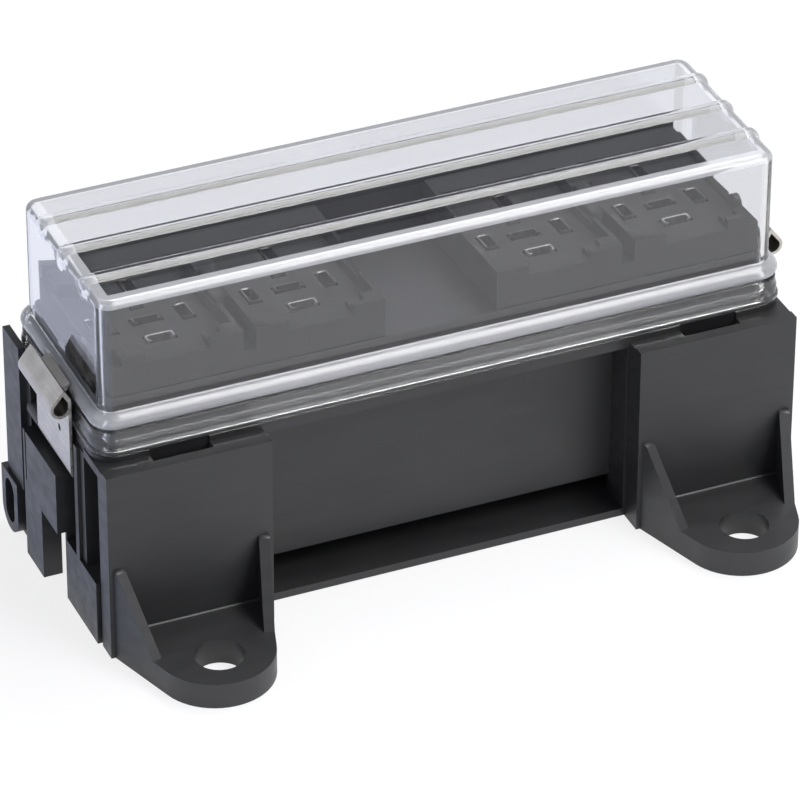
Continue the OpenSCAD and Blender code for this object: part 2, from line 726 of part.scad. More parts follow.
module block(s) {
    outer = block_apart / 2 + block_w;
    shank_w = block_w - 2 * shank_in;
    color([0.24, 0.24, 0.25])
    mirror([s < 0 ? 1 : 0, 0, 0])
    difference() {
        union() {
            translate([outer - block_w, block_front, deck_z]) cube([block_w, block_d, block_up]);
            translate([outer - shank_in - shank_w, shank_front, deck_z - block_down])
                cube([shank_w, shank_back - shank_front, block_down + eps]);
            for (x = [outer - block_w + shank_in, outer - shank_in])
                translate([x, (shank_front + shank_back) / 2, deck_z - deck_t]) snap_lug();
        }
        for (k = [3, 4]) socket_cuts(k);
        // Slot between the two sockets, step of the outer end and room for the latch finger
        translate([block_mid - parting_w / 2, block_front - 1, block_top - parting_deep])
            cube([parting_w, parting_l + 1, parting_deep + 1]);
        translate([outer - end_step, block_front - 1, block_top - end_step])
            cube([end_step + 1, block_d + 2, end_step + 1]);
        translate([outer - 0.5, finger_y - finger_w / 2 - 0.3, deck_z - eps])
            cube([1, finger_w + 0.6, block_up + 1]);
    }
}

// Wedge that snaps in below the deck's edge
module snap_lug() {
    wide = 8;
    drop = 0.2;
    translate([0, wide / 2, 0]) rotate([90, 0, 0]) linear_extrude(wide)
        polygon([[-lug_out, -drop], [lug_out, -drop], [0.3, -5], [-0.3, -5]]);
}

module block_left() { block(-1); }
module block_right() { block(1); }

// Female blade terminal: a flat back with two folded edges, and open crimp wings below
module terminal(k, p) {
    at = pin_at(k, p);
    slot = term_d - term_t;
    color([0.6, 0.58, 0.54])
    translate([at[0], at[1], 0]) rotate([0, 0, at[2]]) {
        translate([0, 0, term_top - term_l]) linear_extrude(term_l) difference() {
            square([term_w, term_d], center = true);
            translate([-(term_w - 2 * term_t) / 2, -term_d / 2 - 1]) square([term_w - 2 * term_t, slot + 1]);
        }
        translate([0, 0, term_top - term_l - crimp_l]) linear_extrude(crimp_l + eps) difference() {
            translate([-crimp_w / 2, -term_d / 2]) square([crimp_w, term_d]);
            translate([-crimp_w / 2 + term_t, -term_d / 2 - 1]) square([crimp_w - 2 * term_t, slot + 1]);
        }
    }
}

base();
cover();
gasket();
clip_left();
clip_right();
block_left();
block_right();
for (s = SOCKETS) for (p = PINS)
    terminal(s, p);
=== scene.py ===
"""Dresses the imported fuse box: black housing, clear cover, spring clips and blade sockets."""
from __future__ import annotations

import logging
import math
from dataclasses import dataclass, field
from enum import Enum
from typing import Sequence

import bmesh
import bpy
from mathutils import Matrix, Vector
from mathutils.geometry import intersect_point_line

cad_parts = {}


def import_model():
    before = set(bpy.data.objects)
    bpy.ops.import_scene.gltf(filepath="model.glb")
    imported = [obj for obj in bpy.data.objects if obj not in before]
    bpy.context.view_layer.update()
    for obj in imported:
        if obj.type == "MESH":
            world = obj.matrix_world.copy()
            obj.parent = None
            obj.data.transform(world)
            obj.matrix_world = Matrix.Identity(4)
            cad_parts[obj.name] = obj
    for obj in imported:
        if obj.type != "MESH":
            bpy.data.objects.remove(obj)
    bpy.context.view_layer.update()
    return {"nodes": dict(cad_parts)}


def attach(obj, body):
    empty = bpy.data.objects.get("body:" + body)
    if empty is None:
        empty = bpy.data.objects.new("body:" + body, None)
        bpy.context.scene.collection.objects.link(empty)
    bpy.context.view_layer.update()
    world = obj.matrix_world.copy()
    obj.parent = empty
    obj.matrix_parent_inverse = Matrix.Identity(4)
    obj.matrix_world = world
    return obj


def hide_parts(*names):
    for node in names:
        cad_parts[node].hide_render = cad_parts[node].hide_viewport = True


LOG = logging.getLogger("fuse_box")
MM = 0.001


class Slot(Enum):
    """Material slots of the fuse box."""

    HOUSING = "housing"
    COVER = "clear_cover"
    GASKET = "gasket"
    STEEL = "spring_steel"
    BLOCK = "socket_block"
    TERMINAL = "terminal"


class Body(Enum):
    """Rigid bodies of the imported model."""

    HOUSING = "housing"
    COVER = "cover"
    CLIP_LEFT = "clip_left"
    CLIP_RIGHT = "clip_right"


# ---------------------------------------------------------------- finishes


class NodeBoard:
    """A material's node tree with short calls to add and join nodes."""

    def __init__(self, name: str) -> None:
        """Starts an empty material.

        Args:
            name: The material's name.
        """
        self.material = bpy.data.materials.new(name)
        self.material.use_nodes = True
        self.tree = self.material.node_tree
        self.tree.nodes.clear()
        self.output = self.tree.nodes.new("ShaderNodeOutputMaterial")

    def add(self, kind: str, **values: object) -> bpy.types.Node:
        """Adds a node.

        Args:
            kind: The node's type name.
            **values: Attributes to set on it.

        Returns:
            The new node.
        """
        node = self.tree.nodes.new(kind)
        for key, value in values.items():
            setattr(node, key, value)
        return node

    def join(self, source: bpy.types.NodeSocket, target: bpy.types.NodeSocket) -> None:
        """Links two sockets."""
        self.tree.links.new(source, target)

    def noise(self, scale: float, detail: float = 3.0, stretch: Sequence[float] = (1, 1, 1)) -> bpy.types.NodeSocket:
        """Adds noise on Object coordinates.

        Args:
            scale: Cells per metre.
            detail: Octaves of the noise.
            stretch: Scale of the coordinates along X, Y and Z.

        Returns:
            The noise's value.
        """
        place = self.add("ShaderNodeTexCoord")
        mapping = self.add("ShaderNodeMapping")
        mapping.inputs["Scale"].default_value = stretch
        cloud = self.add("ShaderNodeTexNoise")
        cloud.inputs["Scale"].default_value = scale
        cloud.inputs["Detail"].default_value = detail
        self.join(place.outputs["Object"], mapping.inputs["Vector"])
        self.join(mapping.outputs["Vector"], cloud.inputs["Vector"])
        return cloud.outputs["Fac"]

    def spread(self, value: bpy.types.NodeSocket, low: float, high: float) -> bpy.types.NodeSocket:
        """Maps noise between 0.3 and 0.7 to a range.

        Args:
            value: The noise's value.
            low: Result for 0.3.
            high: Result for 0.7.

        Returns:
            The mapped value.
        """
        node = self.add("ShaderNodeMapRange")
        node.inputs["From Min"].default_value = 0.3
        node.inputs["From Max"].default_value = 0.7
        node.inputs["To Min"].default_value = low
        node.inputs["To Max"].default_value = high
        self.join(value, node.inputs["Value"])
        return node.outputs["Result"]

    def tint(self, value: bpy.types.NodeSocket, dark: Sequence[float], light: Sequence[float]) -> bpy.types.NodeSocket:
        """Turns a value into a colour between two colours.

        Args:
            value: The value, from 0 to 1.
            dark: Colour for 0.3.
            light: Colour for 0.7.

        Returns:
            The colour.
        """
        ramp = self.add("ShaderNodeValToRGB")
        ramp.color_ramp.elements[0].position = 0.3
        ramp.color_ramp.elements[0].color = (*dark, 1)
        ramp.color_ramp.elements[1].position = 0.7
        ramp.color_ramp.elements[1].color = (*light, 1)
        self.join(value, ramp.inputs["Fac"])
        return ramp.outputs["Color"]

    def bump(self, height: bpy.types.NodeSocket, distance: float, strength: float = 1.0,
             under: bpy.types.NodeSocket | None = None) -> bpy.types.NodeSocket:
        """Adds a bump.

        Args:
            height: Height from 0 to 1.
            distance: Height of 1, in metres.
            strength: Share of the bump that shows.
            under: A coarser bump below this one.

        Returns:
            The bumped normal.
        """
        node = self.add("ShaderNodeBump")
        node.inputs["Distance"].default_value = distance
        node.inputs["Strength"].default_value = strength
        self.join(height, node.inputs["Height"])
        if under is not None:
            self.join(under, node.inputs["Normal"])
        return node.outputs["Normal"]

    def surface(self, **values: object) -> bpy.types.Node:
        """Adds the Principled shader and joins it to the output.

        Args:
            **values: Socket values, with _ for a blank in the socket's name.

        Returns:
            The shader node.
        """
        shader = self.add("ShaderNodeBsdfPrincipled")
        for key, value in values.items():
            shader.inputs[key.replace("_", " ")].default_value = value
        self.join(shader.outputs["BSDF"], self.output.inputs["Surface"])
        return shader


@dataclass(frozen=True)
class MouldedPlastic:
    """Black injection-moulded plastic with a fine spark-eroded grain."""

    name: str
    dark: tuple[float, float, float]
    light: tuple[float, float, float]
    smooth: float = 0.36
    rough: float = 0.48
    grain: float = 6000.0
    grain_height: float = 0.00002
    gloss: float = 0.5

    def build(self) -> bpy.types.Material:
        """Builds the material."""
        board = NodeBoard(self.name)
        shader = board.surface(IOR=1.49, Specular_IOR_Level=self.gloss)
        clouds = board.noise(38.0, 4.0)
        fine = board.noise(self.grain, 2.0)
        flow = board.noise(260.0, 3.0, (0.35, 1.0, 1.6))
        board.join(board.tint(clouds, self.dark, self.light), shader.inputs["Base Color"])
        board.join(board.spread(flow, self.smooth, self.rough), shader.inputs["Roughness"])
        coarse = board.bump(flow, 0.00003, 0.15)
        board.join(board.bump(fine, self.grain_height, 0.5, coarse), shader.inputs["Normal"])
        return board.material


@dataclass(frozen=True)
class ClearPlastic:
    """Clear polycarbonate with faint flow waves, polished or softly dulled."""

    name: str
    colour: tuple[float, float, float] = (0.965, 0.968, 0.995)
    clarity: float = 1.0
    smooth: float = 0.012
    rough: float = 0.04
    flow: float = 0.2

    def build(self) -> bpy.types.Material:
        """Builds the material."""
        board = NodeBoard(self.name)
        shader = board.surface(IOR=1.585, Transmission_Weight=self.clarity, Base_Color=(*self.colour, 1))
        waves = board.noise(40.0, 2.0, (0.5, 1.0, 1.0))
        haze = board.noise(300.0, 3.0)
        board.join(board.spread(haze, self.smooth, self.rough), shader.inputs["Roughness"])
        board.join(board.bump(waves, 0.00004, self.flow), shader.inputs["Normal"])
        return board.material


@dataclass(frozen=True)
class SheetSteel:
    """Plated spring steel with fine rolling marks along Y."""

    name: str
    dark: tuple[float, float, float] = (0.47, 0.45, 0.41)
    light: tuple[float, float, float] = (0.62, 0.595, 0.54)

    def build(self) -> bpy.types.Material:
        """Builds the material."""
        board = NodeBoard(self.name)
        shader = board.surface(Metallic=1.0)
        marks = board.noise(900.0, 4.0, (1.0, 0.06, 1.0))
        spots = board.noise(150.0, 3.0)
        board.join(board.tint(spots, self.dark, self.light), shader.inputs["Base Color"])
        board.join(board.spread(marks, 0.22, 0.42), shader.inputs["Roughness"])
        board.join(board.bump(marks, 0.00003, 0.5), shader.inputs["Normal"])
        return board.material


@dataclass(frozen=True)
class TinnedBrass:
    """Dull tin over brass."""

    name: str
    dark: tuple[float, float, float] = (0.55, 0.54, 0.52)
    light: tuple[float, float, float] = (0.72, 0.71, 0.69)

    def build(self) -> bpy.types.Material:
        """Builds the material."""
        board = NodeBoard(self.name)
        shader = board.surface(Metallic=1.0)
        dull = board.noise(700.0, 4.0)
        drawn = board.noise(1500.0, 2.0, (1.0, 1.0, 0.08))
        board.join(board.tint(dull, self.dark, self.light), shader.inputs["Base Color"])
        board.join(board.spread(dull, 0.3, 0.5), shader.inputs["Roughness"])
        board.join(board.bump(drawn, 0.00003, 0.4), shader.inputs["Normal"])
        return board.material


@dataclass(frozen=True)
class SoftRubber:
    """Matt black rubber of the gasket."""

    name: str

    def build(self) -> bpy.types.Material:
        """Builds the material."""
        board = NodeBoard(self.name)
        shader = board.surface(Roughness=0.8)
        dust = board.noise(900.0, 5.0)
        board.join(board.tint(dust, (0.012, 0.012, 0.013), (0.03, 0.03, 0.032)), shader.inputs["Base Color"])
        board.join(board.bump(dust, 0.00005, 0.6), shader.inputs["Normal"])
        return board.material


@dataclass
class Finishes:
    """Every finish of the fuse box."""

    housing: bpy.types.Material = field(init=False)
    cover: bpy.types.Material = field(init=False)
    edges: bpy.types.Material = field(init=False)
    skirt: bpy.types.Material = field(init=False)
    gasket: bpy.types.Material = field(init=False)
    steel: bpy.types.Material = field(init=False)
    block: bpy.types.Material = field(init=False)
    terminal: bpy.types.Material = field(init=False)
    inner_terminal: bpy.types.Material = field(init=False)

    def __post_init__(self) -> None:
        """Builds each material once."""
        self.housing = MouldedPlastic("housing_plastic", (0.0145, 0.0145, 0.0152), (0.020, 0.020, 0.0208),
                                      gloss=0.65).build()
        self.cover = ClearPlastic("cover_plastic").build()
        # The bead and top edge are milky white (clarity 0.68): a painted highlight band over their real reflections.
        self.edges = ClearPlastic("cover_edge_painted_highlight", (0.96, 0.965, 0.99), 0.68, 0.14, 0.17, 0.0).build()
        self.skirt = ClearPlastic("cover_skirt_plastic", (0.86, 0.865, 0.86), 0.95, 0.16, 0.22, 0.0).build()
        self.gasket = SoftRubber("gasket_rubber").build()
        self.steel = SheetSteel("clip_steel").build()
        # The blocks' grey, about four times the housing's black, is partly their own tone and partly painted light
        # standing in for the light that reaches them through the cover.
        self.block = MouldedPlastic("block_plastic_painted_light", (0.054, 0.054, 0.051), (0.068, 0.068, 0.064), 0.55, 0.7,
                                    grain_height=0.000008, gloss=0.2).build()
        self.terminal = TinnedBrass("terminal_tin").build()
        # The inner terminals get a far darker copy of the same tin: painted shade for their place deep in the wells.
        self.inner_terminal = TinnedBrass("terminal_painted_shade", (0.10, 0.10, 0.095), (0.16, 0.158, 0.15)).build()


# ---------------------------------------------------------------- shared mesh work


def finish_piece(piece: bpy.types.Object, body: Body, nodes: Sequence[str]) -> None:
    """Hands a finished piece to the frame.

    Args:
        piece: The object, in place.
        body: The body it moves with.
        nodes: The CAD nodes it stands for.
    """
    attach(piece, body.value)
    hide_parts(*nodes)
    LOG.info("%s stands for %s on %s", piece.name, ", ".join(nodes), body.value)


def smooth_by_angle(mesh: bpy.types.Mesh, degrees: float) -> None:
    """Shades a mesh smooth but for edges sharper than an angle."""
    mesh.polygons.foreach_set("use_smooth", [True] * len(mesh.polygons))
    mesh.set_sharp_from_angle(angle=math.radians(degrees))


def bake(piece: bpy.types.Object) -> bpy.types.Object:
    """Turns a piece with modifiers into a plain mesh.

    Args:
        piece: The object with its modifiers.

    Returns:
        The same object, without modifiers.
    """
    graph = bpy.context.evaluated_depsgraph_get()
    mesh = bpy.data.meshes.new_from_object(piece.evaluated_get(graph))
    piece.modifiers.clear()
    piece.data = mesh
    return piece


def new_piece(name: str, mesh: bpy.types.Mesh) -> bpy.types.Object:
    """Adds an object at the origin."""
    piece = bpy.data.objects.new(name, mesh)
    bpy.context.scene.collection.objects.link(piece)
    return piece


@dataclass
class RoundedCopy:
    """A copy of a CAD node with the small edge rounding of the real piece."""

    node: str
    radius: float
    segments: int = 2
    sharp: float = 35.0
    thin: float = 0.0

    def _mark(self, work: bmesh.types.BMesh) -> None:
        """Marks the edges to round: the sharp ones, but for those on either side of a thin wall."""
        weight = work.edges.layers.float.new("bevel_weight_edge")
        sharp = [edge for edge in work.edges if edge.calc_face_angle(0.0) > math.radians(self.sharp)]
        for edge in sharp:
            edge[weight] = 1.0
        if self.thin <= 0:
            return
        for edge in sharp:
            spots = [edge.verts[0].co, edge.verts[1].co, (edge.verts[0].co + edge.verts[1].co) / 2]
            for other in sharp:
                if set(edge.verts) & set(other.verts):
                    continue
                if min(self._apart(spot, other) for spot in spots) < self.thin:
                    edge[weight] = other[weight] = 0.0

    @staticmethod
    def _apart(spot: Vector, edge: bmesh.types.BMEdge) -> float:
        """Distance from a point to an edge."""
        start, end = (vert.co for vert in edge.verts)
        nearest, share = intersect_point_line(spot, start, end)
        if share < 0:
            nearest = start
        elif share > 1:
            nearest = end
        return (spot - nearest).length

    def build(self, name: str, nodes: dict[str, bpy.types.Object], finish: bpy.types.Material) -> bpy.types.Object:
        """Copies, cleans and rounds the node's mesh.

        Args:
            name: Name of the new piece.
            nodes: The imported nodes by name.
            finish: The material.

        Returns:
            The new piece.
        """
        mesh = nodes[self.node].data.copy()
        mesh.materials.clear()
        mesh.materials.append(finish)
        work = bmesh.new()
        work.from_mesh(mesh)
        bmesh.ops.remove_doubles(work, verts=work.verts, dist=1e-6)
        if self.thin <= 0:
            bmesh.ops.dissolve_limit(work, angle_limit=math.radians(0.4), verts=work.verts, edges=work.edges)
        for face in work.faces:
            face.material_index = 0
            face.smooth = True
        self._mark(work)
        work.to_mesh(mesh)
        work.free()
        piece = new_piece(name, mesh)
        bevel = piece.modifiers.new("edges", "BEVEL")
        bevel.width = self.radius
        bevel.segments = self.segments
        bevel.limit_method = "WEIGHT"
        bevel.use_clamp_overlap = True
        bevel.harden_normals = False
        bevel.miter_outer = "MITER_ARC"
        bake(piece)
        smooth_by_angle(piece.data, self.sharp)
        flat = piece.modifiers.new("flat_faces", "WEIGHTED_NORMAL")
        flat.mode = "FACE_AREA"
        flat.weight = 100
        flat.keep_sharp = True
        return bake(piece)


# ---------------------------------------------------------------- clear cover


@dataclass
class ClearCover:
    """The clear cover: a thin box with ribs on its top, a bead and a stepped skirt, in millimetres."""

    length: float = 150.0
    depth: float = 44.6
    height: float = 35.1
    wall: float = 1.6
    edge_r: float = 3.0
    top_r: float = 1.7
    front_y: float = 22.3
    foot_z: float = 45.5
    band_h: float = 5.2
    band_out: float = 2.0
    lip_out: float = 0.4
    lip_h: float = 0.9
    bead_r: float = 1.9
    bead_z: float = 7.2
    bead_out: float = 0.1
    rib_w: float = 4.0
    rib_h: float = 0.9
    rib_pitch: float = 12.2
    rib_tip: float = 0.3
    rib_fade: float = 3.0
    rib_end: float = 1.0

    def _fade(self, x: float) -> float:
        """Share of a rib's height at x, which falls off towards the cover's ends."""
        left = (self.length / 2 - self.edge_r - abs(x)) / self.rib_fade
        if left >= 1:
            return 1.0
        return self.rib_end + (1 - self.rib_end) * left * left * (3 - 2 * left)

    def _rib(self, y: float) -> float:
        """Height of the ribs' section at y, measured from the cover's middle."""
        half = self.rib_w / 2
        big = (half * half + self.rib_h * self.rib_h) / (2 * self.rib_h)
        for k in (-1, 0, 1):
            away = abs(y - k * self.rib_pitch)
            if away < half:
                return math.sqrt(big * big - away * away) - (big - self.rib_h)
        return 0.0

    def _columns(self) -> list[float]:
        """Places across the top, close together on the ribs."""
        half = self.depth / 2 - self.edge_r
        places = {-half, half}
        for k in (-1, 0, 1):
            middle = k * self.rib_pitch
            for step in range(-8, 9):
                places.add(middle + self.rib_w / 2 * step / 8)
        for gap in (-1.5, -0.5, 0.5, 1.5):
            places.add(gap * self.rib_pitch)
        return sorted(places)

    def _rows(self) -> list[float]:
        """Places along the top."""
        half = self.length / 2 - self.edge_r
        near = self.rib_fade
        ends = [near * k / 8 for k in range(8)]
        middle = [-half + near + 2 * (half - near) * k / 20 for k in range(21)]
        return [-half + step for step in ends] + middle + [half - step for step in reversed(ends)]

    def _stations(self) -> list[tuple[float, float, float, float, float]]:
        """Points round the cover: anchor x and y, normal x and y, and rib height there."""
        hx = self.length / 2 - self.edge_r
        hy = self.depth / 2 - self.edge_r
        rows, columns = self._rows(), self._columns()
        ring: list[tuple[float, float, float, float, float]] = []
        ring += [(x, -hy, 0.0, -1.0, 0.0) for x in rows]
        ring += [(hx, -hy, math.cos(a), math.sin(a), 0.0) for a in self._turn(-90)]
        ring += [(hx, y, 1.0, 0.0, self._rib(y) * self.rib_end) for y in columns]
        ring += [(hx, hy, math.cos(a), math.sin(a), 0.0) for a in self._turn(0)]
        ring += [(x, hy, 0.0, 1.0, 0.0) for x in reversed(rows)]
        ring += [(-hx, hy, math.cos(a), math.sin(a), 0.0) for a in self._turn(90)]
        ring += [(-hx, y, -1.0, 0.0, self._rib(y) * self.rib_end) for y in reversed(columns)]
        ring += [(-hx, -hy, math.cos(a), math.sin(a), 0.0) for a in self._turn(180)]
        return ring

    @staticmethod
    def _turn(start: float, steps: int = 8) -> list[float]:
        """Inner angles of a quarter turn from start, in radians."""
        return [math.radians(start + 90 * k / steps) for k in range(1, steps)]

    def _outside(self) -> list[tuple[float, float]]:
        """The outer section from the lip to the top edge, as (out, height)."""
        lip = self.band_out + self.lip_out
        step_z = self.band_h * 0.66
        inner_band = self.band_out - 0.3
        path = [(lip - 0.35, 0.0), (lip - 0.1, 0.1), (lip, 0.35), (lip, self.lip_h - 0.2), (lip - 0.1, self.lip_h)]
        path += [(self.band_out, self.lip_h + 0.1), (self.band_out, step_z - 0.7), (self.band_out - 0.05, step_z - 0.4)]
        path += [(inner_band + 0.05, step_z + 0.1), (inner_band, step_z + 0.4)]
        path += [(inner_band, self.band_h - 0.3), (inner_band - 0.1, self.band_h - 0.08)]
        path += [(inner_band - 0.35, self.band_h), (0.3, self.band_h)]
        for k in range(0, 17):
            angle = math.radians(-88 + 176 * k / 16)
            path.append((self.bead_out + self.bead_r * math.cos(angle), self.bead_z + self.bead_r * math.sin(angle)))
        path += [(0.0, self.bead_z + self.bead_r + 0.25), (0.0, self.height - self.top_r - 3.4)]
        path += [(0.0, self.height - self.top_r - drop) for drop in (1.7, 1.3, 0.9, 0.4)]
        for k in range(0, 11):
            angle = math.radians(90 * k / 10)
            path.append((self.top_r * (math.cos(angle) - 1), self.height + self.top_r * (math.sin(angle) - 1)))
        return path

    def _inside(self) -> list[tuple[float, float]]:
        """The inner section from the foot to the underside of the top, as (out, height)."""
        top = self.height - self.wall
        small = self.top_r - self.wall
        path = [(-self.wall, 0.0), (-self.wall, 1.0), (-self.wall, top - small)]
        for k in range(1, 7):
            angle = math.radians(90 * k / 6)
            path.append((-self.wall + small * (math.cos(angle) - 1), top + small * (math.sin(angle) - 1)))
        return path

    def _bulge(self, rib: float, out: float, height: float) -> tuple[float, float]:
        """How far a rib lifts a point of the end wall, outwards and upwards."""
        start = self.height - self.top_r
        if rib <= 0 or height < start - 1.7:
            return 0.0, 0.0
        share = self.rib_tip / self.rib_h
        if height <= start:
            fade = math.sqrt(max(0.0, 1 - ((start - height) / 1.7) ** 2))
            return rib * share * fade, 0.0
        angle = math.acos(max(-1.0, min(1.0, out / self.top_r + 1)))
        lift = rib * (share + (1 - share) * math.sin(angle))
        return lift * math.cos(angle), lift * math.sin(angle)

    def _mesh(self) -> bpy.types.Mesh:
        """Builds the closed shell."""
        work = bmesh.new()
        ring = self._stations()
        mid_y = self.front_y + self.depth / 2

        def loop(out: float, height: float, ribbed: bool) -> list[bmesh.types.BMVert]:
            """One ring of vertices at an offset and height."""
            made = []
            for ax, ay, nx, ny, rib in ring:
                push, lift = self._bulge(rib, out, height) if ribbed else (0.0, 0.0)
                reach = self.edge_r + out + push
                made.append(work.verts.new((
                    (ax + nx * reach) * MM,
                    (mid_y + ay + ny * reach) * MM,
                    (self.foot_z + height + lift) * MM,
                )))
            return made

        loops = [loop(out, height, False) for out, height in reversed(self._inside())]
        loops += [loop(out, height, True) for out, height in self._outside()]
        count = len(ring)
        for low, high in zip(loops, loops[1:]):
            for k in range(count):
                work.faces.new((low[k], low[(k + 1) % count], high[(k + 1) % count], high[k]))
        rows, columns = self._rows(), self._columns()
        for height, ribbed, rim in ((self.height, True, loops[-1]), (self.height - self.wall, False, loops[0])):
            grid = [[work.verts.new((
                x * MM,
                (mid_y + y) * MM,
                (self.foot_z + height + (self._rib(y) * self._fade(x) if ribbed else 0.0)) * MM,
            )) for y in columns] for x in rows]
            for a, b in zip(grid, grid[1:]):
                for k in range(len(columns) - 1):
                    work.faces.new((a[k], b[k], b[k + 1], a[k + 1]))
            edge = self._grid_rim(grid)
            for k in range(count):
                work.faces.new((rim[k], rim[(k + 1) % count], edge[(k + 1) % count], edge[k])) \
                    if edge[k] is not edge[(k + 1) % count] else \
                    work.faces.new((rim[k], rim[(k + 1) % count], edge[k]))
        bmesh.ops.remove_doubles(work, verts=work.verts, dist=1e-7)
        bmesh.ops.recalc_face_normals(work, faces=work.faces)
        for face in work.faces:
            face.material_index = self._zone(face)
        mesh = bpy.data.meshes.new("clear_cover_shell")
        work.to_mesh(mesh)
        work.free()
        return mesh

    def _zone(self, face: bmesh.types.BMFace) -> int:
        """Finds a face's finish.

        Args:
            face: A face of the shell.

        Returns:
            0 for the polished faces, 1 for the bead and the top edge, whose milky finish paints their highlight, 2 for
            the skirt and the corners.
        """
        spot = face.calc_center_median() / MM
        height = spot.z - self.foot_z
        beyond = max(abs(spot.x) - self.length / 2, abs(spot.y - self.front_y - self.depth / 2) - self.depth / 2)
        if beyond < -self.wall + 0.1 and height < self.height - self.wall + 0.1:
            return 0
        if height < self.bead_z - self.bead_r:
            return 2
        border = height > self.height - self.top_r and beyond > -self.edge_r and face.normal.z > -0.1
        if height < self.bead_z + self.bead_r + 0.3 or border:
            return 1
        return 2 if min(abs(face.normal.x), abs(face.normal.y)) > 0.2 else 0

    def _grid_rim(self, grid: list[list[bmesh.types.BMVert]]) -> list[bmesh.types.BMVert]:
        """The grid's outer vertices in the order of the stations."""
        corner = 7
        rim = [row[0] for row in grid]
        rim += [grid[-1][0]] * corner
        rim += grid[-1]
        rim += [grid[-1][-1]] * corner
        rim += [row[-1] for row in reversed(grid)]
        rim += [grid[0][-1]] * corner
        rim += list(reversed(grid[0]))
        rim += [grid[0][0]] * corner
        return rim

    def build(self, finishes: Sequence[bpy.types.Material]) -> bpy.types.Object:
        """Builds and places the cover.

        Args:
            finishes: The clear plastic on the faces, the milky plastic that paints the highlight on the bead and edges,
                and the plastic on the skirt.

        Returns:
            The piece.
        """
        mesh = self._mesh()
        for finish in finishes:
            mesh.materials.append(finish)
        smooth_by_angle(mesh, 32)
        piece = new_piece("clear_cover_moulding", mesh)
        finish_piece(piece, Body.COVER, ["cover"])
        return piece


# ---------------------------------------------------------------- terminals


